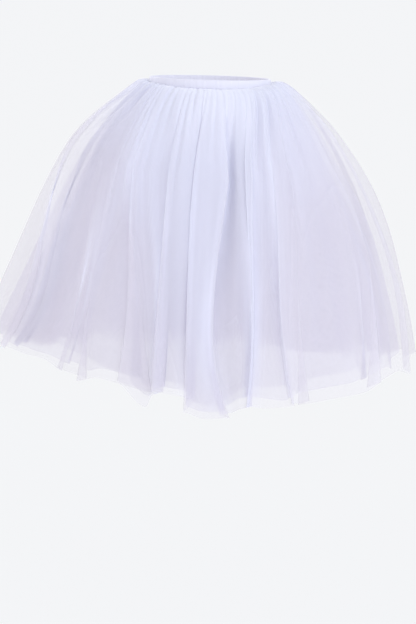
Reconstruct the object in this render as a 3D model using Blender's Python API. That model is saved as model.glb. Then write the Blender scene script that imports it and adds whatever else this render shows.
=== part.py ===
"""A long ballet tutu of the romantic kind: three layers of gathered tulle on an elastic waistband.

The skirt keeps the hollow bell that it has on a wearer. Each layer is a front and a back width of tulle,
gathered along the top and seamed at the sides. Its cloth follows one outer bell, and is folded inwards
from it by gathers under the band, by long folds down to the hem and, on the two layers beneath, by
waves of their own.

Frame: metres, +Z up, the front towards -Y, the origin in the middle of the waist opening at the band's
mid height. Angles run round the waist from 0 at the front, through 90 at +X, to 180 at the back.
"""

import math

import bpy
import numpy as np

# The elastic waistband: an oval ring with a rolled edge along its top and its bottom.
WAIST_HALF_WIDTH = 0.125
WAIST_HALF_DEPTH = 0.095
BAND_HEIGHT = 0.018
BAND_FACE_THICKNESS = 0.0028
BAND_EDGE_THICKNESS = 0.0035
BAND_EDGE_HEIGHT = 0.0026
BAND_EDGE_SLOPE = 0.0008
BAND_COLUMNS = 60

# The wearer stands with one hip raised, so the whole garment slopes down towards +X.
HIP_SLOPE = math.tan(math.radians(1.5))

# Tulle
WALL = 0.0012
SEAM_GAP = 0.0003
SKIRT_LENGTH = 0.680

# The outer bell, one row for each section of its outline. along: length of cloth below the band.
# left, left_z, right, right_z: half width and height at the side towards -X and at the side towards +X.
# depth, front_z: half depth and height at the front and the back.
SECTION_COLUMNS = ("along", "left", "left_z", "right", "right_z", "depth", "front_z")
SECTIONS = (
    (0.000, 0.1245, -0.0120, 0.1245, -0.0120, 0.0945, -0.0115),
    (0.010, 0.1300, -0.0035, 0.1300, -0.0035, 0.1035, -0.0080),
    (0.020, 0.1370, 0.0035, 0.1375, 0.0040, 0.1130, -0.0090),
    (0.032, 0.1470, 0.0020, 0.1485, 0.0045, 0.1240, -0.0130),
    (0.046, 0.1595, -0.0060, 0.1620, -0.0010, 0.1355, -0.0205),
    (0.090, 0.1945, -0.0330, 0.1965, -0.0285, 0.1655, -0.0510),
    (0.120, 0.2180, -0.0510, 0.2185, -0.0490, 0.1810, -0.0765),
    (0.167, 0.2535, -0.0820, 0.2515, -0.0815, 0.2025, -0.1170),
    (0.215, 0.2855, -0.1180, 0.2800, -0.1180, 0.2225, -0.1600),
    (0.280, 0.3205, -0.1725, 0.3165, -0.1720, 0.2465, -0.2205),
    (0.350, 0.3535, -0.2345, 0.3500, -0.2330, 0.2690, -0.2865),
    (0.430, 0.3875, -0.3070, 0.3800, -0.3065, 0.2920, -0.3625),
    (0.510, 0.4195, -0.3805, 0.4025, -0.3835, 0.3140, -0.4385),
    (0.595, 0.4530, -0.4585, 0.4225, -0.4660, 0.3355, -0.5205),
    (0.680, 0.4850, -0.5375, 0.4385, -0.5495, 0.3560, -0.6025),
)

# The long folds, one row for each crease line. Ridges and troughs take turns. waist, mid, hem: its angle at
# the band, at mid length and at the hem, in degrees. mid_in, hem_in: how many millimetres it lies inside the
# bell there. drop: how many millimetres the hem hangs lower at it.
CREASE_COLUMNS = ("waist", "mid", "hem", "mid_in", "hem_in", "drop")
FRONT_CREASES = (
    (-90, -90, -90, 0, 0, -10),
    (-86, -76, -73, 16, 26, -14),
    (-81, -62, -61, 0, 0, -16),
    (-73, -47, -40, 20, 32, -18),
    (-66, -41, -34, 2, 0, -18),
    (-58, -33, -23, 22, 30, -16),
    (-47, -23.5, -16, 3, 0, 6),
    (-36, -15.6, -12.5, 14, 18, -4),
    (-25, -10, -8.5, 3, 4, -6),
    (-12, -6.6, -5.8, 28, 30, 0),
    (-7, -4.4, -4.4, 0, 0, 20),
    (1, -1.4, 0, 6, 5, 22),
    (9, 2, 4.2, 0, 0, 20),
    (18, 5.4, 7.2, 46, 38, 4),
    (32, 13.4, 11.5, 5, 14, 0),
    (40, 17, 15.5, 20, 24, 0),
    (48, 21, 19.5, 6, 12, 2),
    (54, 26, 23, 16, 22, 2),
    (60, 33, 27, 0, 0, 8),
    (65, 38, 31, 18, 36, 10),
    (72, 54, 53, 0, 0, 4),
    (77, 61, 57.5, 18, 34, 0),
    (82, 75, 74, 0, 0, 0),
    (86, 83, 81.5, 16, 28, 0),
)
BACK_CREASES = (
    (90, 90, 90, 0, 0, 0),
    (94, 99, 98, 18, 30, 0),
    (98, 107, 106, 0, 2, 0),
    (103, 116, 115, 22, 32, 0),
    (112, 124, 123, 4, 6, 0),
    (120, 133, 134, 14, 20, 0),
    (130, 141, 143, 0, 0, 2),
    (138, 148, 149, 26, 36, 0),
    (149, 157, 158, 4, 6, 0),
    (157, 164, 164.5, 16, 22, 0),
    (167, 171, 171.5, 0, 0, 8),
    (176, 177.5, 178, 36, 40, 4),
    (186, 184, 184.5, 2, 4, 8),
    (193, 190, 190.5, 18, 24, 2),
    (203, 198, 198, 0, 0, 2),
    (211, 205, 206, 28, 36, 0),
    (221, 214, 214, 4, 6, 0),
    (230, 222, 223, 16, 22, 0),
    (240, 232, 232, 0, 0, 0),
    (248, 241, 240.5, 22, 34, 0),
    (256, 251, 251, 2, 4, -4),
    (263, 260, 261, 18, 30, -8),
)
COLUMNS_PER_CREASE = 3
FOLD_START = 0.03  # length of cloth at which the folds begin
MID_ALONG = 0.33  # length of cloth at "mid"
TURN_LENGTH = 0.045  # length of cloth in which a crease turns from its place at the waist to its own line

# Gathers: every second column of the cloth is drawn in. along: length of cloth; drawn_in: how far.
GATHER_ALONG = (0.000, 0.014, 0.035, 0.070, 0.130, 0.220, 0.350)
GATHER_DRAWN_IN = (0.0016, 0.0026, 0.0040, 0.0050, 0.0046, 0.0016, 0.0)

# The layers, from the outside in. gap: distance to the layer outside it, at the band, at mid length and at
# the hem. waves and wave_depth: the layer's own waves at the hem, beneath the folds that it shares.
LAYER_COLUMNS = ("name", "shorter", "gap_top", "gap_mid", "gap_hem", "waves", "wave_depth", "wave_turn")
LAYERS = (
    ("outer", 0.000, 0.0000, 0.000, 0.000, 0, 0.000, 0.0),
    ("middle", 0.008, 0.0018, 0.036, 0.026, 17, 0.013, 0.6),
    ("inner", 0.016, 0.0018, 0.020, 0.016, 13, 0.013, 2.1),
)
GAP_AT_FRONT = 0.6  # share of the gap at the sides that is left at the front and the back
GAP_MID_ALONG = 0.26

# Lengths of cloth at the rows of the mesh, as shares of a layer's length
ROW_SHARES = (0.0, 0.015, 0.03, 0.062, 0.125, 0.23, 0.42, 0.69, 1.0)

TULLE_COLOUR = (0.79, 0.79, 0.93, 1.0)
BAND_COLOUR = (0.84, 0.84, 0.94, 1.0)


def smooth_curve(knots, values, at):
    """A curve through the values that never overshoots between two knots (monotone cubic)."""
    knots = np.asarray(knots, float)
    values = np.asarray(values, float)
    steps = np.diff(knots)
    slopes = np.diff(values) / steps
    same_way = slopes[1:] * slopes[:-1] > 0
    safe_sum = np.where(same_way, slopes[1:] + slopes[:-1], 1.0)
    inner = np.where(same_way, 2 * slopes[1:] * slopes[:-1] / safe_sum, 0.0)
    tangents = np.concatenate([slopes[:1], inner, slopes[-1:]])
    at = np.clip(at, knots[0], knots[-1])
    i = np.clip(np.searchsorted(knots, at, side="right") - 1, 0, len(steps) - 1)
    t = (at - knots[i]) / steps[i]
    return (
        values[i] * (1 + 2 * t) * (1 - t) ** 2
        + tangents[i] * steps[i] * t * (1 - t) ** 2
        + values[i + 1] * t * t * (3 - 2 * t)
        + tangents[i + 1] * steps[i] * t * t * (t - 1)
    )


def column_of(table, names, name):
    return [row[names.index(name)] for row in table]


def bell_point(angle, along):
    """The point of the outer bell at an angle and a length of cloth below the band."""
    knots = column_of(SECTIONS, SECTION_COLUMNS, "along")

    def section(name):
        return smooth_curve(knots, column_of(SECTIONS, SECTION_COLUMNS, name), along)

    to_left = np.sin(angle) < 0
    to_front = np.cos(angle) ** 2
    x = np.where(to_left, section("left"), section("right")) * np.sin(angle)
    y = -section("depth") * np.cos(angle)
    side_z = np.where(to_left, section("left_z"), section("right_z"))
    z = side_z * (1 - to_front) + section("front_z") * to_front
    return np.stack([x, y, z], axis=-1)


def bell_normal(angle, along):
    """The outward normal of the bell, from its slopes round it and down it."""
    step_angle = 1e-3
    step_along = 2e-3
    low = np.clip(along - step_along, 0, None)
    high = np.clip(along + step_along, None, SKIRT_LENGTH)
    around = bell_point(angle + step_angle, along) - bell_point(angle - step_angle, along)
    down = bell_point(angle, high) - bell_point(angle, low)
    normal = np.cross(down, around)
    return normal / np.linalg.norm(normal, axis=-1, keepdims=True)


def between_creases(column, name, turn=0):
    """A value read between the creases on either side of each column. turn: what a full turn adds to it."""
    values = np.array(column_of(FRONT_CREASES + BACK_CREASES, CREASE_COLUMNS, name), float)
    values = np.append(values, values[0] + turn)
    crease = np.minimum(column // COLUMNS_PER_CREASE, len(values) - 2).astype(int)
    share = column / COLUMNS_PER_CREASE - crease
    if not turn:
        share = (1 - np.cos(np.pi * share)) / 2
    return values[crease] + (values[crease + 1] - values[crease]) * share


def below_mid(along):
    return (along - MID_ALONG) / (SKIRT_LENGTH - MID_ALONG)


def fold_angle(column, along):
    """The angle of each column of cloth, in radians: it turns quickly under the band, and then little."""
    waist, mid, hem = (between_creases(column, name, turn=360) for name in ("waist", "mid", "hem"))
    line = mid + (hem - mid) * below_mid(along)
    line_at_band = mid + (hem - mid) * below_mid(0.0)
    return np.radians(line + (waist - line_at_band) * np.exp(-along / TURN_LENGTH))


def fold_depth(column, along):
    """How far the long folds lie inside the bell, in metres."""
    mid = between_creases(column, "mid_in")
    hem = between_creases(column, "hem_in")
    opening = np.clip((along - FOLD_START) / (MID_ALONG - FOLD_START), 0, 1)
    lower = np.clip(below_mid(along), 0, 1)
    return (mid * np.sin(opening * np.pi / 2) ** 1.3 * (1 - lower) + hem * lower) / 1000


def hem_drop(column, along):
    """How much lower the cloth hangs towards the hem, in metres."""
    return between_creases(column, "drop") / 1000 * (along / SKIRT_LENGTH) ** 2


def gather_depth(column, along):
    """How far the small gathers under the band draw the cloth in."""
    drawn_in = smooth_curve(GATHER_ALONG, GATHER_DRAWN_IN, along)
    return drawn_in * (1 - np.cos(np.pi * column)) / 2


def layer_depth(angle, along, rank):
    """How far a layer lies inside the outermost one: its gap and its own waves, and those outside it."""
    total = np.zeros_like(along)
    near_side = GAP_AT_FRONT + (1 - GAP_AT_FRONT) * np.sin(angle) ** 2
    for row in LAYERS[1 : rank + 1]:
        layer = dict(zip(LAYER_COLUMNS, row))
        gap_knots = (0.0, GAP_MID_ALONG, SKIRT_LENGTH)
        gaps = (0.0, layer["gap_mid"] - layer["gap_top"], layer["gap_hem"] - layer["gap_top"])
        total += layer["gap_top"] + smooth_curve(gap_knots, gaps, along) * near_side
        wave = (1 - np.cos(layer["waves"] * angle + layer["wave_turn"])) / 2
        total += layer["wave_depth"] * wave * (along / SKIRT_LENGTH) ** 1.5
    return total


def layer_surface(rank, columns, row_shares):
    """The middle of a layer's wall, as a grid of points: rows down the cloth, columns round it."""
    length = SKIRT_LENGTH - LAYERS[rank][LAYER_COLUMNS.index("shorter")]
    along, column = np.meshgrid(np.array(row_shares) * length, columns, indexing="ij")
    angle = fold_angle(column, along)
    inside = fold_depth(column, along) + gather_depth(column, along) + layer_depth(angle, along, rank)
    points = bell_point(angle, along) - inside[..., None] * bell_normal(angle, along)
    points[..., 2] -= HIP_SLOPE * points[..., 0] + hem_drop(column, along)
    return points


def grid_normals(points):
    """Unit normals of a grid that closes on itself round the waist, pointing out of the bell."""
    around = np.roll(points, -1, axis=1) - np.roll(points, 1, axis=1)
    down = np.gradient(points, axis=0)
    normals = np.cross(down, around)
    return normals / np.linalg.norm(normals, axis=-1, keepdims=True)


def open_seam(points, other):
    """Draws a panel's first and last columns in by half the seam gap, in both faces of its wall."""
    for edge, inner in ((0, 1), (-1, -2)):
        inwards = points[:, inner] - points[:, edge]
        inwards /= np.linalg.norm(inwards, axis=-1, keepdims=True)
        points[:, edge] += inwards * SEAM_GAP / 2
        other[:, edge] += inwards * SEAM_GAP / 2


def wall_mesh(name, outer, inner):
    """A closed wall between two grids of points. Both faces are split along the same diagonals."""
    rows, columns = outer.shape[:2]
    number = np.arange(rows * columns).reshape(rows, columns)
    beneath = rows * columns
    faces = []
    for r in range(rows - 1):
        for c in range(columns - 1):
            a, b = number[r, c], number[r, c + 1]
            d, e = number[r + 1, c], number[r + 1, c + 1]
            faces += [(a, d, e), (a, e, b)]
            faces += [(a + beneath, e + beneath, d + beneath), (a + beneath, b + beneath, e + beneath)]
    rim = list(number[0, :]) + list(number[1:, -1]) + list(number[-1, -2::-1]) + list(number[-2:0:-1, 0])
    for a, b in zip(rim, rim[1:] + rim[:1]):
        faces += [(a, b, b + beneath), (a, b + beneath, a + beneath)]
    mesh = bpy.data.meshes.new(name)
    mesh.from_pydata(np.concatenate([outer, inner]).reshape(-1, 3).tolist(), [], faces)
    mesh.validate()
    return mesh


def ring_mesh(name, profile):
    """The waistband's mesh: a profile of (out, up) points carried round the oval waist."""
    rows = []
    for i in range(BAND_COLUMNS):
        angle = 2 * math.pi * i / BAND_COLUMNS
        normal = np.array([math.sin(angle) / WAIST_HALF_WIDTH, -math.cos(angle) / WAIST_HALF_DEPTH])
        normal /= np.linalg.norm(normal)
        outside = np.array([WAIST_HALF_WIDTH * math.sin(angle), -WAIST_HALF_DEPTH * math.cos(angle)])
        for out, up in profile:
            x, y = outside + normal * (out - BAND_EDGE_THICKNESS)
            rows.append((x, y, up - HIP_SLOPE * x))
    count = len(profile)
    faces = []
    for i in range(BAND_COLUMNS):
        here, there = i * count, (i + 1) % BAND_COLUMNS * count
        for k in range(count):
            after = (k + 1) % count
            faces.append((here + k, there + k, there + after, here + after))
    mesh = bpy.data.meshes.new(name)
    mesh.from_pydata(rows, [], faces)
    mesh.validate()
    return mesh


def material(name, colour, roughness):
    made = bpy.data.materials.new(name)
    made.use_nodes = True
    shader = made.node_tree.nodes["Principled BSDF"]
    shader.inputs["Base Color"].default_value = colour
    shader.inputs["Roughness"].default_value = roughness
    shader.inputs["Metallic"].default_value = 0.0
    return made


def add_object(name, mesh, finish):
    mesh.materials.append(finish)
    mesh.shade_smooth()
    mesh.set_sharp_from_angle(angle=math.radians(50))
    made = bpy.data.objects.new(name, mesh)
    bpy.context.scene.collection.objects.link(made)


def add_waistband(finish):
    half = BAND_HEIGHT / 2
    edge = half - BAND_EDGE_HEIGHT
    face = edge - BAND_EDGE_SLOPE
    profile = (
        (0, half),
        (0, -half),
        (BAND_EDGE_THICKNESS, -half),
        (BAND_EDGE_THICKNESS, -edge),
        (BAND_FACE_THICKNESS, -face),
        (BAND_FACE_THICKNESS, face),
        (BAND_EDGE_THICKNESS, edge),
        (BAND_EDGE_THICKNESS, half),
    )
    add_object("waistband", ring_mesh("waistband", profile), finish)


def add_layer(rank, finish):
    """A layer's front and back widths of tulle."""
    around = COLUMNS_PER_CREASE * len(FRONT_CREASES + BACK_CREASES)
    surface = layer_surface(rank, np.arange(around), ROW_SHARES)
    half_wall = grid_normals(surface) * WALL / 2
    seam = COLUMNS_PER_CREASE * len(FRONT_CREASES)
    spans = {"front": range(0, seam + 1), "back": range(seam, around + 1)}
    for side, span in spans.items():
        columns = [c % around for c in span]
        outer = (surface + half_wall)[:, columns]
        inner = (surface - half_wall)[:, columns]
        open_seam(outer, inner)
        name = f"{LAYERS[rank][0]}_tulle_{side}"
        add_object(name, wall_mesh(name, outer, inner), finish)


def main():
    for leftover in list(bpy.data.objects):
        bpy.data.objects.remove(leftover)
    add_waistband(material("white_elastic", BAND_COLOUR, 0.7))
    tulle = material("white_tulle", TULLE_COLOUR, 0.8)
    for rank in range(len(LAYERS)):
        add_layer(rank, tulle)


main()
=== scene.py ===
"""The looks of a long ballet tutu: three layers of gathered tulle on an elastic waistband, in a pale studio.

Each layer is a thin sheet on the form of its solid, with finer creases. Distances are in metres, depths of
creases in millimetres and angles in degrees: 0 is the front, 90 is +X, 180 the back.
"""

import math

import bpy
import numpy as np
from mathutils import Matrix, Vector


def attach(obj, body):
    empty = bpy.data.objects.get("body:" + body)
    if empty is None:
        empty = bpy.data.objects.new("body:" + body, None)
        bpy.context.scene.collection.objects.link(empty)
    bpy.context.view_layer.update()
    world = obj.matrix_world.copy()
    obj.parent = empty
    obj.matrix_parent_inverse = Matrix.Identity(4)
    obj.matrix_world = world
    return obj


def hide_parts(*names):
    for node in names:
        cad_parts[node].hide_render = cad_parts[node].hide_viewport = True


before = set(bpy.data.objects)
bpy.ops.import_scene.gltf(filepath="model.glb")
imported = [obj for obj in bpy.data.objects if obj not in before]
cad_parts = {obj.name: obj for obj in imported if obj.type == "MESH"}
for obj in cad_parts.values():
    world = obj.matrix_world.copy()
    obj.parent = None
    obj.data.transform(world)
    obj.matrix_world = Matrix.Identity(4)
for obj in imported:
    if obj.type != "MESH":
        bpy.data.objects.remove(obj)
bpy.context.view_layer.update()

# The camera, 3.6 m in front of the wearer and a little above the waist
CAMERA_PLACE = (0.0, -3.6, 0.20)
CAMERA_TARGET = (-0.0045, 0.0, -0.4837)
CAMERA_LENS = 99.8
CAMERA_SENSOR = 36.0
FLOOR_Z = -1.08

# The waist, and the elastic band with its ribs and the finer threads across them
WAIST_HALF_WIDTH = 0.125
WAIST_HALF_DEPTH = 0.095
HIP_SLOPE = math.tan(math.radians(1.5))  # the wearer's right hip, at -X, is higher
BAND_HALF_HEIGHT = 0.009
BAND_THICK = 0.0035
BAND_ROUND = 0.0012
BAND_COLUMNS = 480
BAND_CORNER_STEPS = 3
PUCKER_DEPTH = 0.0004
PUCKER_TURNS = (61, 83, 117)
RIB_PITCH = 0.0022
PICK_PITCH = 0.0009
PICK_SHARE = 0.3  # height of the cross threads, as a share of the ribs'
ELASTIC_COLOUR = (0.80, 0.795, 0.87)

# The stitches along the band's lower edge
STITCHES = 180
STITCH_SHARE = 0.75  # of the distance from one stitch to the next
STITCH_LINE = -0.0062  # above the band's middle
THREAD_RADIUS = 0.0003
THREAD_SIDES = 6
THREAD_RISE = 0.3  # how far a stitch's middle stands off the band, as a share of its radius
THREAD_COLOUR = (0.88, 0.88, 0.93)

# The outer bell: half width and height at either side, and at the front and the back, down the cloth
SKIRT_LENGTH = 0.680
SECTION_COLUMNS = ("along", "left", "left_z", "right", "right_z", "depth", "front_z")
SECTIONS = (
    (0.000, 0.1245, -0.0120, 0.1245, -0.0120, 0.0945, -0.0115),
    (0.010, 0.1300, -0.0035, 0.1300, -0.0035, 0.1035, -0.0080),
    (0.020, 0.1370, 0.0035, 0.1375, 0.0040, 0.1130, -0.0090),
    (0.032, 0.1470, 0.0020, 0.1485, 0.0045, 0.1240, -0.0130),
    (0.046, 0.1595, -0.0060, 0.1620, -0.0010, 0.1355, -0.0205),
    (0.090, 0.1945, -0.0330, 0.1965, -0.0285, 0.1655, -0.0510),
    (0.120, 0.2180, -0.0510, 0.2185, -0.0490, 0.1810, -0.0765),
    (0.167, 0.2535, -0.0820, 0.2515, -0.0815, 0.2025, -0.1170),
    (0.215, 0.2855, -0.1180, 0.2800, -0.1180, 0.2225, -0.1600),
    (0.280, 0.3205, -0.1725, 0.3165, -0.1720, 0.2465, -0.2205),
    (0.350, 0.3535, -0.2345, 0.3500, -0.2330, 0.2690, -0.2865),
    (0.430, 0.3875, -0.3070, 0.3800, -0.3065, 0.2920, -0.3625),
    (0.510, 0.4195, -0.3805, 0.4025, -0.3835, 0.3140, -0.4385),
    (0.595, 0.4530, -0.4585, 0.4225, -0.4660, 0.3355, -0.5205),
    (0.680, 0.4850, -0.5375, 0.4385, -0.5495, 0.3560, -0.6025),
)

# The long folds, round from the side seam at -X: ridges and troughs in turn, and where a ridge laps over its
# neighbour, its edge and then the trough behind it. Angles at the band, high, at mid length and at the hem;
# then depths inside the bell, and how much lower the hem hangs, in millimetres.
CREASE_COLUMNS = ("waist", "high", "mid", "hem", "high_in", "mid_in", "hem_in", "drop")
FRONT_CREASES = (
    (-90, -90, -90, -90, 0, 0, 0, -10),
    (-88.5, -86, -85, -81, 4, 6, 13, -12),
    (-87.5, -84, -74, -72, 0, 0, 0, -18),
    (-83, -73, -66, -64, 2, 3, 8, -20),
    (-77, -85, -59.5, -59.5, 0, 0, 0, -20),
    (-73.5, -79, -63, -64, 2, 2, 6, -24),
    (-63, -63, -55, -52, 0, 0, 0, -30),
    (-55.5, -54, -46, -43, 1, 2, 0, -36),
    (-52.5, -49, -40, -36.8, 1, 2, 0, -24),
    (-49.5, -44, -38.5, -40, 2, 3, 10, -26),
    (-47, -40, -36, -30, 2, 3, 12, -24),
    (-46, -39, -35.5, -33.5, 2, 2, 0, -12),
    (-41.5, -35, -30, -26.5, 1, 2, 2, -30),
    (-37.5, -31.5, -23, -12.5, 3, 6, 12, -20),
    (-36, -31, -25.5, -22, 3, 1, 0, -32),
    (-33.5, -29, -23, -14.2, 2, 0, 0, 12),
    (-30.5, -26, -19, -12.8, 8, 10, 10, -16),
    (-19.5, -16, -12, -10.5, 7, 8, 10, -24),
    (-18, -17, -15.2, -14.2, 1, 0, 0, -22),
    (-13.5, -12.5, -10.5, -9, 0, 0, 0, -20),
    (-5.5, -4.5, -3.4, -3, 9, 11, 13, -12),
    (-2, -7.4, -6.6, -6.2, 3, 0, 0, 13),
    (3, -1.5, -2.6, -0.8, 3, 3, 4, 24),
    (10.5, 7.3, 2, 5.8, 1, 0, 2, 22),
    (13, 5, -1, 2.5, 20, 22, 18, 16),
    (17.5, 7.5, 4, 5.5, 24, 23, 16, 12),
    (21.5, 11, 9, 8, 9, 10, 9, 4),
    (25.5, 15.4, 13.2, 10.8, 4, 5, 5, 0),
    (27, 13.4, 11.9, 8.6, 4, 4, 5, 2),
    (30, 18, 13.6, 10, 2, 3, 5, 2),
    (31.5, 16.5, 12.4, 9.4, 11, 11, 9, 0),
    (38, 22, 16.5, 14.5, 9, 9, 7, 6),
    (42.5, 25.5, 22.4, 22.2, 4, 6, 7, 8),
    (44, 25.2, 20.8, 20.3, 3, 2, 2, 2),
    (47.5, 29, 24.5, 23, 0, 0, 0, 4),
    (50, 32, 27.5, 26.3, 0, 0, 0, 2),
    (50.5, 33, 28, 22.6, 3, 6, 18, 8),
    (55, 38, 34, 33, 4, 8, 14, 9),
    (62.5, 47, 45, 45, 0, 0, 0, 13),
    (69.5, 56, 55.5, 52.3, 1, 2, 0, 5),
    (71, 58, 56, 46.5, 2, 4, 14, 8),
    (75.5, 65, 66, 62, 2, 4, 12, 3),
    (80.5, 74, 74, 72, 0, 0, 0, 26),
    (82, 71, 69, 67, 3, 5, 10, 8),
    (88, 84, 83, 82, 3, 6, 13, 4),
)
BACK_CREASES = (
    (90, 90, 90, 90, 0, 0, 0, 10),
    (92.5, 97, 98, 97, 4, 8, 14, 24),
    (96, 105, 107, 106, 0, 0, 2, 18),
    (100, 112, 118, 117, 9, 14, 23, 32),
    (101.5, 110, 113, 113, 1, 2, 2, 40),
    (106.5, 118, 124, 124, 3, 4, 5, 34),
    (113, 128, 134, 136, 10, 14, 22, 46),
    (115, 125, 130, 132, 0, 0, 0, 38),
    (124, 136, 141, 143, 1, 0, 0, 46),
    (126.5, 133, 137.5, 139, 12, 17, 27, 30),
    (136, 144, 149, 150, 7, 11, 18, 36),
    (146, 154, 158, 159, 1, 3, 5, 22),
    (155, 163, 166, 166, 12, 17, 23, 22),
    (158.5, 159, 162, 162.5, 0, 0, 0, 4),
    (170, 170, 171, 172, 0, 0, 0, 16),
    (172.5, 167.5, 168, 169, 12, 17, 22, 0),
    (184, 179, 179, 180, 17, 23, 27, 14),
    (191.5, 186, 184.5, 185, 1, 3, 4, 4),
    (198.5, 193, 192, 192, 9, 14, 20, 20),
    (202, 190, 188.5, 189, 0, 0, 0, 4),
    (213, 201, 199, 199, 0, 0, 2, 26),
    (220, 209, 207, 208, 12, 19, 27, 14),
    (229, 219, 214, 214, 1, 3, 5, 10),
    (236, 227, 223, 224, 9, 14, 22, 32),
    (239.5, 223, 219.5, 220, 0, 0, 0, 28),
    (249, 236, 233, 233, 0, 0, 0, 26),
    (251, 233, 229, 230, 10, 16, 25, 38),
    (259, 245, 243, 243, 6, 9, 16, 24),
    (263, 253, 251, 251, 0, 2, 4, 22),
    (267, 262, 261, 261, 4, 8, 14, 6),
)
FOLD_START = 0.06  # length of cloth at which the long folds begin
HIGH_ALONG = 0.23  # lengths of cloth at "high" and "mid"
MID_ALONG = 0.42
TURN_LENGTH = 0.12  # length of cloth in which a crease turns from its place at the band to its own line

# Short creases under the band. waist: angle at the band. start, end: along the cloth.
# depth: millimetres, inwards. width: degrees at the band.
TUCK_COLUMNS = ("waist", "start", "end", "depth", "width")
TUCKS = (
    (-64, 0.00, 0.24, 7, 3.0),
    (-54, 0.02, 0.16, 6, 2.0),
    (-27, 0.03, 0.22, 5, 1.5),
    (-9, 0.06, 0.20, 3, 1.6),
    (7, 0.02, 0.15, 2, 1.8),
    (25, 0.01, 0.10, 2, 1.6),
    (36, 0.02, 0.30, 8, 1.4),
    (45, 0.02, 0.24, 7, 1.5),
    (63, 0.03, 0.22, 4, 2.4),
    (74, 0.02, 0.14, 3, 2.0),
    (108, 0.02, 0.20, 5, 3.0),
    (125, 0.01, 0.15, 3, 2.4),
    (143, 0.03, 0.24, 5, 2.4),
    (171, 0.03, 0.16, 4, 1.8),
    (189, 0.02, 0.18, 3, 2.0),
    (215, 0.02, 0.22, 5, 2.4),
    (235, 0.01, 0.14, 3, 2.4),
    (252, 0.03, 0.20, 4, 3.0),
)

# How the folds wander as they fall, and how their cloth swells and sinks: waves over the angle at the band
# and the length of cloth. turns: to the whole waist. bends: to a metre of cloth. start: in degrees.
WAVE_COLUMNS = ("turns", "bends", "start")
WANDER = ((3, 1.1, 40), (7, -1.6, 200), (11, 2.1, 75))
WANDER_TURN = 0.35  # degrees round the bell, for each wave
SWELL = ((5, 1.3, 10), (9, 2.4, 130), (14, -1.9, 250), (23, 2.8, 60))
SWELL_DEPTH = 1.6  # millimetres, for each wave

# The under layers' hems hang higher in steps, listed here: the angle at the band, and how much higher each
# layer hangs there than the one outside it, in millimetres.
UNDER_HEM = (
    (-90, 3), (-58, 3), (-53, 14), (-39, 14), (-35, 5), (17, 5), (23, 13), (41, 13), (45, 4),
    (50, 4), (53, 15), (67, 15), (71, 3), (96, 3), (101, 12), (118, 12), (123, 3), (150, 3),
    (154, 13), (176, 13), (181, 4), (204, 4), (208, 14), (228, 14), (233, 3), (270, 3),
)
UNDER_STRAY = 2.5  # how far the steps of one layer lie beside those of the next, in degrees at the band

# The layers. cut: width of each half before it is gathered. shorter: than the outer layer. gap_*: to the
# layer outside it, in metres, at the band, lower down and at the hem. waves, wave_depth, wave_turn: its own
# waves at the hem. gathers, gather_depth: how many round the waist and how deep, in millimetres. softness:
# how far its long folds are rounded, in degrees at the band. stray: the most they lie beside those of the
# outer layer. net_cover: the share that threads cover of the net lying flat.
LAYER_COLUMNS = (
    "name", "cut", "shorter", "gap_top", "gap_mid", "gap_hem",
    "waves", "wave_depth", "wave_turn", "gathers", "gather_depth", "softness", "stray", "net_cover",
)
LAYERS = (
    ("outer", 1.38, 0.000, 0.0000, 0.000, 0.000, 0, 0.000, 0.0, 130, 3.2, 0.0, 0.0, 0.28),
    ("middle", 1.24, 0.008, 0.0018, 0.036, 0.026, 17, 0.013, 0.6, 170, 4.6, 1.2, 4.0, 0.40),
    ("inner", 1.08, 0.016, 0.0018, 0.020, 0.016, 13, 0.013, 2.1, 170, 4.8, 2.4, -4.0, 0.40),
)
GAP_AT_FRONT = 0.6  # share of the gap at the sides that is left at the front and the back
GAP_MID_ALONG = 0.26  # length of cloth at "gap_mid"

# The small gathers of each layer, and the long faint creases of the net, drawn at random from one seed
GATHER_SEED = 41
BAND_HOLD = 0.02  # length of cloth over which the band still holds the gathers flat
GATHER_START = -0.03  # above the cloth's edge, so that each gather is already open there
GATHER_STRAY = 0.9  # as a share of the gathers' pitch
GATHER_WIDTHS = (0.22, 0.45)  # as shares of the gathers' pitch
GATHER_ENDS = (0.10, 0.26)
GATHER_LONGER = 0.4  # how much further down a few of them reach
GATHER_SHALLOWEST = 0.3  # depth of the shallowest, as a share of the layer's gather_depth
GATHER_DEEPER = 1.2  # how much the deepest adds to that
FAINT_PITCH = 5.0  # degrees at the band
FAINT_STRAY = 4.0
FAINT_STARTS = (0.02, 0.35)
FAINT_LENGTHS = (0.15, 0.45)
FAINT_DEPTH = 2.4  # millimetres, inwards or outwards
FAINT_WIDTHS = (0.5, 1.8)  # degrees at the band

# Mesh of a width of cloth
COLUMNS = 560  # across half the waist
ROWS = 90
ROWS_CROWD = 1.25  # above 1, the rows lie closer together under the band
FINE_COLUMNS = 3000  # across half the waist, where the hem is measured to place the columns

# The net. Cover is the share of a spot that threads fill.
NET_PITCH = 0.0011
NET_EDGE = (0.6, -1.2)  # heights of the net's waves where a thread begins and where it is full
NET_HOLE = 0.88  # cover in the holes and, with NET_THREAD added, on the threads, as shares of the mean
NET_THREAD = 0.3
# The net's colour follows its cover. It is bluer where gathered, which is the net's own tint, and darker and
# pinker where thin, which is painted shade.
THIN_SHADE_COLOUR = (0.835, 0.80, 0.87)
DENSE_COLOUR = (0.835, 0.84, 0.945)
DENSITY = (0.25, 0.6)  # cover at which the net has its thin colour and its dense one
NEAR_COLUMNS = 6  # columns on either side over which fullness is evened out down at the hem
WIDE_COLUMNS = 40  # and up at the band
EVEN_UNTIL = 0.6  # share of the rows by which the first has taken over from the second
FULLNESS = (0.9, 7.0)  # least and most cloth for the room it hangs in
CENTRE_FULLNESS = 1.0  # how much more cloth is gathered in the middle of the front and of the back
CENTRE_SPREAD = 38.0  # degrees at the band
CENTRE_FADE = 0.95  # share of that which is lost by the hem
SEAM_ALLOWANCE = 0.005  # width of the doubled cloth along each side seam, at the hem
SEAM_COVER = 0.46  # the least cover there
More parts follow.
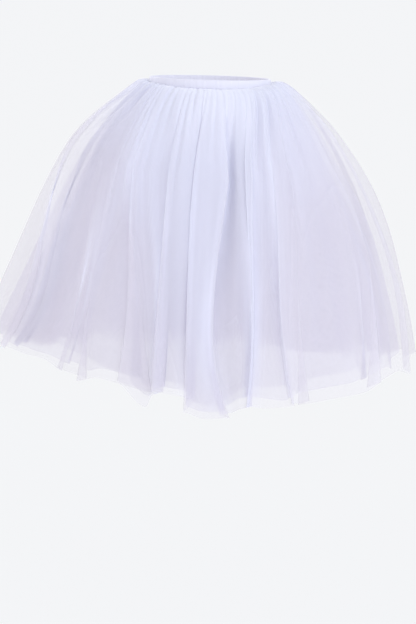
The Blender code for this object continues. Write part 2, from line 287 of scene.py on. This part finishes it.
SHEETS_SEEN_THROUGH = 48  # how many faces of net, one behind the other, a ray may pass

# The studio: a floor that curves up into a backdrop, pale air and three lights
STAGE_NEAR = -8.0
STAGE_BEND = 3.0  # where the floor begins to curve up
STAGE_RADIUS = 2.0
STAGE_STEPS = 12  # round the bend
STAGE_TOP = 8.0
STAGE_HALF_WIDTH = 9.0
STAGE_GLOW = (0.896, 0.905, 0.922, 1.0)
STAGE_STRENGTH = 0.985
AIR_BELOW = (0.73, 0.66, 0.70, 1)
AIR_LEVEL = (0.875, 0.865, 0.93, 1)
AIR_ABOVE = (0.93, 0.96, 1.0, 1)
AIR_STRENGTH = 1.035
LIGHT_COLUMNS = ("name", "place", "target", "size", "energy", "colour")
LIGHTS = (
    ("key", (2.8, -2.7, 1.4), (0, 0, -0.25), 3.6, 56, (0.80, 0.89, 0.99)),
    ("fill", (-2.9, -1.6, 0.5), (0, 0, -0.3), 2.5, 6, (0.90, 0.92, 1.0)),
    ("rim", (-2.6, 2.2, 0.9), (-0.35, 0, -0.25), 0.6, 26, (1.0, 1.0, 1.0)),
)


def smooth_curve(knots, values, at):
    """A curve through the values that never overshoots between two knots (monotone cubic)."""
    knots = np.asarray(knots, float)
    values = np.asarray(values, float)
    steps = np.diff(knots)
    slopes = np.diff(values) / steps
    same_way = slopes[1:] * slopes[:-1] > 0
    safe_sum = np.where(same_way, slopes[1:] + slopes[:-1], 1.0)
    inner = np.where(same_way, 2 * slopes[1:] * slopes[:-1] / safe_sum, 0.0)
    tangents = np.concatenate([slopes[:1], inner, slopes[-1:]])
    at = np.clip(at, knots[0], knots[-1])
    i = np.clip(np.searchsorted(knots, at, side="right") - 1, 0, len(steps) - 1)
    t = (at - knots[i]) / steps[i]
    return (
        values[i] * (1 + 2 * t) * (1 - t) ** 2
        + tangents[i] * steps[i] * t * (1 - t) ** 2
        + values[i + 1] * t * t * (3 - 2 * t)
        + tangents[i + 1] * steps[i] * t * t * (t - 1)
    )


def column_of(table, names, name):
    return [row[names.index(name)] for row in table]


def rows_of(table, names):
    return [dict(zip(names, row)) for row in table]


def layers():
    return rows_of(LAYERS, LAYER_COLUMNS)


def bell_point(angle, along):
    """The point of the outer bell at an angle, in radians, and a length of cloth below the band."""
    knots = column_of(SECTIONS, SECTION_COLUMNS, "along")

    def section(name):
        return smooth_curve(knots, column_of(SECTIONS, SECTION_COLUMNS, name), along)

    to_left = np.sin(angle) < 0
    to_front = np.cos(angle) ** 2
    x = np.where(to_left, section("left"), section("right")) * np.sin(angle)
    y = -section("depth") * np.cos(angle)
    side_z = np.where(to_left, section("left_z"), section("right_z"))
    z = side_z * (1 - to_front) + section("front_z") * to_front
    return np.stack([x, y, z], axis=-1)


def bell_normal(angle, along):
    """The outward normal of the bell, from its slopes round it and down it."""
    step_angle = 1e-3
    step_along = 2e-3
    low = np.clip(along - step_along, 0, None)
    high = np.clip(along + step_along, None, SKIRT_LENGTH)
    around = bell_point(angle + step_angle, along) - bell_point(angle - step_angle, along)
    down = bell_point(angle, high) - bell_point(angle, low)
    normal = np.cross(down, around)
    return normal / np.linalg.norm(normal, axis=-1, keepdims=True)


def between_creases(waist, name, softness=0.0, turn=0):
    """A column of the table of creases, read between the creases on either side of an angle at the band.

    softness: degrees to either side over which it is averaged. turn: what a whole turn adds to it, 360 for
    angles, which run straight from crease to crease. The others are eased.
    """
    if softness:
        shifts = (-softness, -softness / 2, 0, softness / 2, softness)
        return sum(between_creases(waist + shift, name, 0.0, turn) for shift in shifts) / len(shifts)
    table = FRONT_CREASES + BACK_CREASES
    knots = np.array(column_of(table, CREASE_COLUMNS, "waist"), float)
    values = np.array(column_of(table, CREASE_COLUMNS, name), float)
    knots = np.concatenate([knots[-3:] - 360, knots, knots[:3] + 360])
    values = np.concatenate([values[-3:] - turn, values, values[:3] + turn])
    i = np.clip(np.searchsorted(knots, waist, side="right") - 1, 0, len(knots) - 2)
    share = (waist - knots[i]) / (knots[i + 1] - knots[i])
    if not turn:
        share = (1 - np.cos(np.pi * share)) / 2
    return values[i] + (values[i + 1] - values[i]) * share


def down_the_cloth(high, mid, hem, along):
    """A smooth curve through the values high on the cloth, at mid length and at the hem."""
    upper = (along - MID_ALONG) * (along - SKIRT_LENGTH)
    middle = (along - HIGH_ALONG) * (along - SKIRT_LENGTH)
    lower = (along - HIGH_ALONG) * (along - MID_ALONG)
    return (
        high * upper / ((HIGH_ALONG - MID_ALONG) * (HIGH_ALONG - SKIRT_LENGTH))
        + mid * middle / ((MID_ALONG - HIGH_ALONG) * (MID_ALONG - SKIRT_LENGTH))
        + hem * lower / ((SKIRT_LENGTH - HIGH_ALONG) * (SKIRT_LENGTH - MID_ALONG))
    )


def waves_over(table, waist, along):
    """The sum of some waves over the cloth, each from -1 to 1."""
    total = np.zeros_like(along)
    for wave in rows_of(table, WAVE_COLUMNS):
        total += np.sin(np.radians(wave["turns"] * waist + 360 * wave["bends"] * along + wave["start"]))
    return total


def fold_angle(waist, along, softness):
    """The angle of each column of cloth, in radians: it turns quickly under the band, and then little."""
    high, mid, hem = (between_creases(waist, name, softness, turn=360) for name in ("high", "mid", "hem"))
    below = np.clip(along, HIGH_ALONG, None)
    line = down_the_cloth(high, mid, hem, below)
    line = line + WANDER_TURN * waves_over(WANDER, waist, along) * np.clip(along / HIGH_ALONG, 0, 1)
    return np.radians(line + (waist - line) * np.exp(-((along / TURN_LENGTH) ** 2)))


def fold_depth(waist, along, softness):
    """How far the long folds lie inside the bell, in millimetres."""
    high, mid, hem = (between_creases(waist, name, softness) for name in ("high_in", "mid_in", "hem_in"))
    opening = np.clip((along - FOLD_START) / (HIGH_ALONG - FOLD_START), 0, 1)
    depth = down_the_cloth(high, mid, hem, np.clip(along, HIGH_ALONG, None))
    return np.clip(depth, 0, None) * (1 - np.cos(np.pi * opening)) / 2


def crease_shape(waist, along, centre, start, end, width):
    """1 where a short crease is deepest, a little above half its length, and falling to 0 round that."""
    across = np.exp(-(((waist - centre + 180) % 360 - 180) / width) ** 2)
    place = np.clip((along - start) / (end - start), 0, 1)
    return across * np.sin(np.pi * place**0.7) ** 1.5


def tuck_depth(waist, along):
    """Depth of the short creases placed by hand, in millimetres."""
    total = np.zeros_like(along)
    for tuck in rows_of(TUCKS, TUCK_COLUMNS):
        shape = crease_shape(waist, along, tuck["waist"], tuck["start"], tuck["end"], tuck["width"])
        total += tuck["depth"] * shape
    return total


def gather_depth(waist, along, layer, draws):
    """Depth of the many small gathers under the band, and of long faint creases, in millimetres."""
    total = np.zeros_like(along)
    pitch = 360 / layer["gathers"]
    for centre in np.arange(-90, 270, pitch):
        centre = centre + pitch * draws.uniform(-GATHER_STRAY, GATHER_STRAY)
        end = draws.uniform(*GATHER_ENDS) + GATHER_LONGER * draws.random() ** 3
        depth = layer["gather_depth"] * (GATHER_SHALLOWEST + GATHER_DEEPER * draws.random() ** 2)
        width = pitch * draws.uniform(*GATHER_WIDTHS)
        total += depth * crease_shape(waist, along, centre, GATHER_START, end, width)
    for centre in np.arange(-90, 270, FAINT_PITCH):
        centre = centre + draws.uniform(-FAINT_STRAY, FAINT_STRAY)
        start = draws.uniform(*FAINT_STARTS)
        end = start + draws.uniform(*FAINT_LENGTHS)
        depth = draws.uniform(-FAINT_DEPTH, FAINT_DEPTH)
        total += depth * crease_shape(waist, along, centre, start, end, draws.uniform(*FAINT_WIDTHS))
    return total


def layer_depth(angle, along, rank):
    """How far a layer lies inside the outermost one, in metres, as in the solids."""
    total = np.zeros_like(along)
    near_side = GAP_AT_FRONT + (1 - GAP_AT_FRONT) * np.sin(angle) ** 2
    for layer in layers()[1 : rank + 1]:
        gap_knots = (0.0, GAP_MID_ALONG, SKIRT_LENGTH)
        gaps = (0.0, layer["gap_mid"] - layer["gap_top"], layer["gap_hem"] - layer["gap_top"])
        total += layer["gap_top"] + smooth_curve(gap_knots, gaps, along) * near_side
        wave = (1 - np.cos(layer["waves"] * angle + layer["wave_turn"])) / 2
        total += layer["wave_depth"] * wave * (along / SKIRT_LENGTH) ** 1.5
    return total


def layer_points(rank, waist, along, small_creases):
    """Points of a layer at these angles at the band and lengths of cloth below it.

    The layer's folds stray sideways in between the seams and the middle of the front and the back.
    """
    layer = layers()[rank]
    beside = waist + layer["stray"] * np.sin(np.radians(2 * (waist + 90)))
    angle = fold_angle(beside, along, layer["softness"])
    swell = SWELL_DEPTH * waves_over(SWELL, waist, along) * np.clip(along / MID_ALONG, 0, 1)
    creases = fold_depth(beside, along, layer["softness"]) + swell + small_creases
    inside = creases / 1000 + layer_depth(angle, along, rank)
    points = bell_point(angle, along) - inside[..., None] * bell_normal(angle, along)
    drop = between_creases(beside, "drop", layer["softness"])
    steps, raised = np.array(UNDER_HEM, float).T
    drop = drop - rank * np.interp(waist + UNDER_STRAY * (rank - 1), steps, raised, period=360)
    points[..., 2] -= HIP_SLOPE * points[..., 0] + drop / 1000 * (along / SKIRT_LENGTH) ** 2
    return points


def cloth_columns(first, last):
    """Angles at the band for the columns of a width: closer together where more cloth hangs at the hem."""
    waist = np.linspace(first, last, FINE_COLUMNS)
    hem = layer_points(0, waist, np.full_like(waist, SKIRT_LENGTH), np.zeros_like(waist))
    steps = np.linalg.norm(np.diff(hem, axis=0), axis=-1)
    share = np.concatenate([[0], np.cumsum(steps)]) / steps.sum()
    share = (share + (waist - first) / (last - first)) / 2
    return np.interp(np.linspace(0, 1, COLUMNS + 1), share, waist)


def rounded_across(points):
    """Rounds the folds a little, by averaging each point with its neighbours round the bell."""
    soft = points.copy()
    weights = (1, 2, 3, 2, 1)
    total = sum(w * points[:, i : points.shape[1] - 4 + i] for i, w in enumerate(weights))
    soft[:, 2:-2] = total / sum(weights)
    return soft


def layer_grid(rank, waist_columns):
    """A layer as a grid of points: rows down the cloth, columns round it."""
    layer = layers()[rank]
    draws = np.random.default_rng(GATHER_SEED + rank)
    rows = np.linspace(0, 1, ROWS) ** ROWS_CROWD * (SKIRT_LENGTH - layer["shorter"])
    along, waist = np.meshgrid(rows, waist_columns, indexing="ij")
    small = tuck_depth(waist, along) + gather_depth(waist, along, layer, draws)
    small = small * np.clip(along / BAND_HOLD, 0, 1)
    return rounded_across(layer_points(rank, waist, along, small)), along


def mean_across(grid, reach):
    """Each value of a grid averaged with so many neighbours on either side, round the bell."""
    kernel = np.ones(2 * reach + 1) / (2 * reach + 1)
    padded = np.pad(grid, ((0, 0), (reach, reach)), mode="edge")
    return np.apply_along_axis(lambda row: np.convolve(row, kernel, "valid"), 1, padded)


def cover_of(points, waist_columns, net_cover, cut):
    """The share of each spot that threads cover: more where its cloth is gathered into less room."""
    room = np.linalg.norm(np.diff(points, axis=1), axis=-1)
    room = np.concatenate([room, room[:, -1:]], axis=1)
    width = np.append(np.diff(waist_columns), 0) * cut / (waist_columns[-1] - waist_columns[0])
    width = np.broadcast_to(width, room.shape)
    down = np.linspace(0, 1, len(points))[:, None]
    evenly = 1 - np.clip(down / EVEN_UNTIL, 0, 1)
    near = mean_across(width, NEAR_COLUMNS) / mean_across(room, NEAR_COLUMNS)
    wide = mean_across(width, WIDE_COLUMNS) / mean_across(room, WIDE_COLUMNS)
    fullness = np.clip(near * (1 - evenly) + wide * evenly, *FULLNESS)
    from_centre = (np.asarray(waist_columns) + 90) % 180 - 90
    more = CENTRE_FULLNESS * np.exp(-((from_centre / CENTRE_SPREAD) ** 2)) * (1 - CENTRE_FADE * down**2)
    fullness = fullness * (1 + more)
    cover = 1 - (1 - net_cover) ** fullness
    hem_steps = np.linalg.norm(np.diff(points[-1], axis=0), axis=-1)
    from_seam = np.concatenate([[0], np.cumsum(hem_steps)])
    from_seam = np.minimum(from_seam, from_seam[-1] - from_seam)
    at_seam = np.exp(-((from_seam / SEAM_ALLOWANCE) ** 2))
    return cover + (SEAM_COVER - cover).clip(0) * at_seam


def sheet_mesh(name, points, along, cover, cut):
    """An open sheet over a grid, with the cloth's own coordinates in metres and its cover as an attribute."""
    rows, columns = points.shape[:2]
    number = np.arange(rows * columns).reshape(rows, columns)
    quads = np.stack([number[:-1, :-1], number[1:, :-1], number[1:, 1:], number[:-1, 1:]], axis=-1)
    mesh = bpy.data.meshes.new(name)
    mesh.from_pydata(points.reshape(-1, 3).tolist(), [], quads.reshape(-1, 4).tolist())
    hem_steps = np.linalg.norm(np.diff(points[-1], axis=0), axis=-1)
    hem_share = np.concatenate([[0], np.cumsum(hem_steps)]) / hem_steps.sum()
    across = np.broadcast_to(cut * hem_share, (rows, columns))
    cloth = np.stack([across, along], axis=-1).reshape(-1, 2)
    corners = np.empty(len(mesh.loops), np.int32)
    mesh.loops.foreach_get("vertex_index", corners)
    mesh.uv_layers.new(name="cloth").data.foreach_set("uv", cloth[corners].astype(np.float32).ravel())
    mesh.attributes.new("cover", "FLOAT", "POINT").data.foreach_set("value", cover.astype(np.float32).ravel())
    mesh.shade_smooth()
    return mesh


def add_piece(name, mesh, material, slot, *nodes):
    """Links a mesh as a piece that stands for these nodes of the frame."""
    mesh.materials.append(material)
    piece = bpy.data.objects.new(name, mesh)
    bpy.context.scene.collection.objects.link(piece)
    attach(piece, "root")
    if nodes:
        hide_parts(*nodes)
    return piece


def new_material(name, colour, roughness):
    made = bpy.data.materials.new(name)
    made.use_nodes = True
    shader = made.node_tree.nodes["Principled BSDF"]
    shader.inputs["Base Color"].default_value = (*colour, 1.0)
    shader.inputs["Roughness"].default_value = roughness
    return made, made.node_tree, shader


def math_node(tree, operation, first, second=None):
    node = tree.nodes.new("ShaderNodeMath")
    node.operation = operation
    for socket, value in zip(node.inputs, (first, second)):
        if isinstance(value, (int, float)):
            socket.default_value = value
        elif value is not None:
            tree.links.new(value, socket)
    return node.outputs[0]


def net_pattern(tree):
    """1 on the threads of a honeycomb net and 0 in its holes, from three waves at 60 degrees."""
    place = tree.nodes.new("ShaderNodeUVMap")
    place.uv_map = "cloth"
    total = None
    for turn in (0, 60, 120):
        along = tree.nodes.new("ShaderNodeVectorMath")
        along.operation = "DOT_PRODUCT"
        tree.links.new(place.outputs["UV"], along.inputs[0])
        scale = 2 * math.pi / (NET_PITCH * math.cos(math.radians(30)))
        along.inputs[1].default_value = (
            scale * math.cos(math.radians(turn)),
            scale * math.sin(math.radians(turn)),
            0,
        )
        wave = math_node(tree, "COSINE", along.outputs["Value"])
        total = wave if total is None else math_node(tree, "ADD", total, wave)
    thread = tree.nodes.new("ShaderNodeMapRange")
    thread.interpolation_type = "SMOOTHSTEP"
    thread.inputs["From Min"].default_value, thread.inputs["From Max"].default_value = NET_EDGE
    tree.links.new(total, thread.inputs["Value"])
    return thread.outputs["Result"]


def tulle_material():
    """White net: threads let light through between them, and gathered cloth is denser and bluer, the net's
    own tint; where the net is thin, its darker, pinker colour is painted shade.
    """
    made, tree, shader = new_material("white tulle", THIN_SHADE_COLOUR, 0.75)
    shader.inputs["Specular IOR Level"].default_value = 0.2
    shader.inputs["Sheen Weight"].default_value = 0.8
    shader.inputs["Sheen Roughness"].default_value = 0.4
    cover = tree.nodes.new("ShaderNodeAttribute")
    cover.attribute_name = "cover"
    uneven = math_node(tree, "MULTIPLY_ADD", net_pattern(tree), NET_THREAD)
    uneven.node.inputs[2].default_value = NET_HOLE
    alpha = math_node(tree, "MULTIPLY", cover.outputs["Fac"], uneven)
    alpha.node.use_clamp = True
    tree.links.new(alpha, shader.inputs["Alpha"])
    # Painted shade: where the cover is thin, the net's colour turns darker and pinker.
    density = tree.nodes.new("ShaderNodeMapRange")
    density.inputs["From Min"].default_value, density.inputs["From Max"].default_value = DENSITY
    tree.links.new(cover.outputs["Fac"], density.inputs["Value"])
    colour = tree.nodes.new("ShaderNodeMix")
    colour.data_type = "RGBA"
    colour.inputs["A"].default_value = (*THIN_SHADE_COLOUR, 1.0)
    colour.inputs["B"].default_value = (*DENSE_COLOUR, 1.0)
    tree.links.new(density.outputs["Result"], colour.inputs["Factor"])
    tree.links.new(colour.outputs["Result"], shader.inputs["Base Color"])
    return made


def elastic_material():
    """Woven elastic: fine ribs along the band, crossed by finer threads."""
    made, tree, shader = new_material("white elastic", ELASTIC_COLOUR, 0.7)
    shader.inputs["Sheen Weight"].default_value = 0.2
    place = tree.nodes.new("ShaderNodeUVMap")
    place.uv_map = "band"
    parts = tree.nodes.new("ShaderNodeSeparateXYZ")
    tree.links.new(place.outputs["UV"], parts.inputs["Vector"])
    ribs = math_node(tree, "SINE", math_node(tree, "MULTIPLY", parts.outputs["Y"], 2 * math.pi / RIB_PITCH))
    picks = math_node(tree, "SINE", math_node(tree, "MULTIPLY", parts.outputs["X"], 2 * math.pi / PICK_PITCH))
    weave = math_node(tree, "MULTIPLY_ADD", picks, PICK_SHARE)
    tree.links.new(ribs, weave.node.inputs[2])
    bump = tree.nodes.new("ShaderNodeBump")
    bump.inputs["Strength"].default_value = 0.35
    bump.inputs["Distance"].default_value = 0.0003
    tree.links.new(weave, bump.inputs["Height"])
    tree.links.new(bump.outputs["Normal"], shader.inputs["Normal"])
    return made


def thread_material():
    """Sewing thread with a fine uneven surface."""
    made, tree, shader = new_material("white thread", THREAD_COLOUR, 0.5)
    shader.inputs["Sheen Weight"].default_value = 0.3
    noise = tree.nodes.new("ShaderNodeTexNoise")
    noise.inputs["Scale"].default_value = 2500
    bump = tree.nodes.new("ShaderNodeBump")
    bump.inputs["Strength"].default_value = 0.3
    bump.inputs["Distance"].default_value = 0.0001
    tree.links.new(noise.outputs["Fac"], bump.inputs["Height"])
    tree.links.new(bump.outputs["Normal"], shader.inputs["Normal"])
    return made


def band_point(angle, out, up):
    """A point at an angle round the waist, so far outside the band's face and above its middle."""
    normal = np.array([math.sin(angle) / WAIST_HALF_WIDTH, -math.cos(angle) / WAIST_HALF_DEPTH])
    x, y = (
        np.array([WAIST_HALF_WIDTH * math.sin(angle), -WAIST_HALF_DEPTH * math.cos(angle)])
        + normal / np.linalg.norm(normal) * out
    )
    return (x, y, up - HIP_SLOPE * x)


def band_pucker(angle):
    """How far the stitches pull the band in, in metres: below 0 where it bulges between them."""
    return PUCKER_DEPTH * sum(math.sin(turns * angle + turns) for turns in PUCKER_TURNS) / len(PUCKER_TURNS)


def band_profile():
    """The band's section, a rounded rectangle: distances of points outside its face and above its middle."""
    points = []
    inner = -BAND_THICK + BAND_ROUND
    outer = -BAND_ROUND
    upper = BAND_HALF_HEIGHT - BAND_ROUND
    corners = ((inner, upper, 90), (inner, -upper, 180), (outer, -upper, 270), (outer, upper, 360))
    for centre_out, centre_up, first in corners:
        for step in range(BAND_CORNER_STEPS + 1):
            turn = math.radians(first + 90 * step / BAND_CORNER_STEPS)
            points.append((centre_out + BAND_ROUND * math.cos(turn), centre_up + BAND_ROUND * math.sin(turn)))
    return points


def add_waistband():
    """The elastic: a soft band with rounded edges, puckered by its stitches."""
    profile = band_profile()
    rows = []
    for i in range(BAND_COLUMNS):
        angle = 2 * math.pi * i / BAND_COLUMNS
        rows += [band_point(angle, out - band_pucker(angle), up) for out, up in profile]
    count = len(profile)
    faces = []
    for i in range(BAND_COLUMNS):
        here, there = i * count, (i + 1) % BAND_COLUMNS * count
        for k in range(count):
            after = (k + 1) % count
            faces.append((here + k, here + after, there + after, there + k))
    mesh = bpy.data.meshes.new("elastic_waistband")
    mesh.from_pydata(rows, [], faces)
    mesh.shade_smooth()
    layer = mesh.uv_layers.new(name="band").data
    waist_length = math.pi * (WAIST_HALF_WIDTH + WAIST_HALF_DEPTH)
    for face in mesh.polygons:
        for corner in face.loop_indices:
            column, k = divmod(mesh.loops[corner].vertex_index, count)
            if column == 0 and face.index >= (BAND_COLUMNS - 1) * count:
                column = BAND_COLUMNS
            layer[corner].uv = (waist_length * column / BAND_COLUMNS, profile[k][1])
    return add_piece("elastic_waistband", mesh, elastic_material(), "elastic", "waistband")


def add_stitches():
    """A line of machine stitches that holds the net to the band, each a short rod with narrower ends."""
    rows = []
    faces = []
    rings = ((-0.5, 0.4), (-0.3, 1.0), (0.3, 1.0), (0.5, 0.4))  # place along a stitch, share of its radius
    for i in range(STITCHES):
        first = len(rows)
        for place, swell in rings:
            angle = 2 * math.pi * (i + place * STITCH_SHARE) / STITCHES
            for side in range(THREAD_SIDES):
                turn = math.radians(360 / THREAD_SIDES * side)
                out = THREAD_RADIUS * (THREAD_RISE + swell * math.cos(turn)) - band_pucker(angle)
                rows.append(band_point(angle, out, STITCH_LINE + THREAD_RADIUS * swell * math.sin(turn)))
        for ring in range(len(rings) - 1):
            here = first + THREAD_SIDES * ring
            there = here + THREAD_SIDES
            for side in range(THREAD_SIDES):
                after = (side + 1) % THREAD_SIDES
                faces.append((here + side, here + after, there + after, there + side))
        faces.append(tuple(reversed(range(first, first + THREAD_SIDES))))
        faces.append(tuple(range(len(rows) - THREAD_SIDES, len(rows))))
    mesh = bpy.data.meshes.new("waist_stitches")
    mesh.from_pydata(rows, [], faces)
    mesh.shade_smooth()
    return add_piece("waist_stitches", mesh, thread_material(), "elastic")


def add_layers():
    tulle = tulle_material()
    spans = {"front": (-90, 90), "back": (90, 270)}
    for rank, layer in enumerate(layers()):
        for side, (first, last) in spans.items():
            waist_columns = cloth_columns(first, last)
            points, along = layer_grid(rank, waist_columns)
            name = f"{layer['name']}_net_{side}"
            cover = cover_of(points, waist_columns, layer["net_cover"], layer["cut"])
            mesh = sheet_mesh(name, points, along, cover, layer["cut"])
            piece = add_piece(name, mesh, tulle, "tulle", f"{layer['name']}_tulle_{side}")


def add_stage():
    """A pale floor that curves up into a backdrop."""
    made, tree, shader = new_material("pale studio", (0.02, 0.02, 0.02), 1.0)
    shader.inputs["Specular IOR Level"].default_value = 0.0
    shader.inputs["Emission Color"].default_value = STAGE_GLOW
    shader.inputs["Emission Strength"].default_value = STAGE_STRENGTH
    profile = [(STAGE_NEAR, FLOOR_Z), (STAGE_BEND, FLOOR_Z)]
    for i in range(1, STAGE_STEPS + 1):
        angle = math.radians(90 * i / STAGE_STEPS)
        up = FLOOR_Z + STAGE_RADIUS * (1 - math.cos(angle))
        profile.append((STAGE_BEND + STAGE_RADIUS * math.sin(angle), up))
    profile.append((STAGE_BEND + STAGE_RADIUS, STAGE_TOP))
    rows = [(x, y, z) for y, z in profile for x in (-STAGE_HALF_WIDTH, STAGE_HALF_WIDTH)]
    faces = [(2 * i, 2 * i + 1, 2 * i + 3, 2 * i + 2) for i in range(len(profile) - 1)]
    mesh = bpy.data.meshes.new("studio")
    mesh.from_pydata(rows, [], faces)
    mesh.materials.append(made)
    mesh.shade_smooth()
    stage = bpy.data.objects.new("studio", mesh)
    bpy.context.scene.collection.objects.link(stage)
    stage.visible_diffuse = False


def add_area_light(name, place, target, size, energy, colour):
    """A round soft light of this width in metres and energy in watts, turned to a target."""
    data = bpy.data.lights.new(name, "AREA")
    data.shape = "DISK"
    data.size = size
    data.energy = energy
    data.color = colour
    light = bpy.data.objects.new(name, data)
    bpy.context.scene.collection.objects.link(light)
    light.location = place
    point_at(light, target)


def point_at(thing, target):
    thing.rotation_euler = (Vector(target) - thing.location).to_track_quat("-Z", "Y").to_euler()


def add_world():
    """Studio air: a pale dome, brighter and cooler above than below."""
    world = bpy.data.worlds.new("studio air")
    world.use_nodes = True
    tree = world.node_tree
    place = tree.nodes.new("ShaderNodeTexCoord")
    parts = tree.nodes.new("ShaderNodeSeparateXYZ")
    ramp = tree.nodes.new("ShaderNodeValToRGB")
    height = tree.nodes.new("ShaderNodeMapRange")
    height.inputs["From Min"].default_value = -1.0
    tree.links.new(place.outputs["Generated"], parts.inputs["Vector"])
    tree.links.new(parts.outputs["Z"], height.inputs["Value"])
    tree.links.new(height.outputs["Result"], ramp.inputs["Fac"])
    tree.links.new(ramp.outputs["Color"], tree.nodes["Background"].inputs["Color"])
    ramp.color_ramp.elements[0].color = AIR_BELOW
    ramp.color_ramp.elements[1].color = AIR_ABOVE
    middle = ramp.color_ramp.elements.new(0.5)
    middle.color = AIR_LEVEL
    tree.nodes["Background"].inputs["Strength"].default_value = AIR_STRENGTH
    bpy.context.scene.world = world


def add_lights():
    add_world()
    for light in rows_of(LIGHTS, LIGHT_COLUMNS):
        add_area_light(**light)


def add_camera():
    data = bpy.data.cameras.new("camera")
    data.lens = CAMERA_LENS
    data.sensor_width = CAMERA_SENSOR
    camera = bpy.data.objects.new("camera", data)
    bpy.context.scene.collection.objects.link(camera)
    camera.location = CAMERA_PLACE
    point_at(camera, CAMERA_TARGET)
    bpy.context.scene.camera = camera


bpy.context.scene.view_settings.view_transform = "Standard"
bpy.context.scene.cycles.transparent_max_bounces = SHEETS_SEEN_THROUGH
add_camera()
add_stage()
add_lights()
add_waistband()
add_stitches()
add_layers()
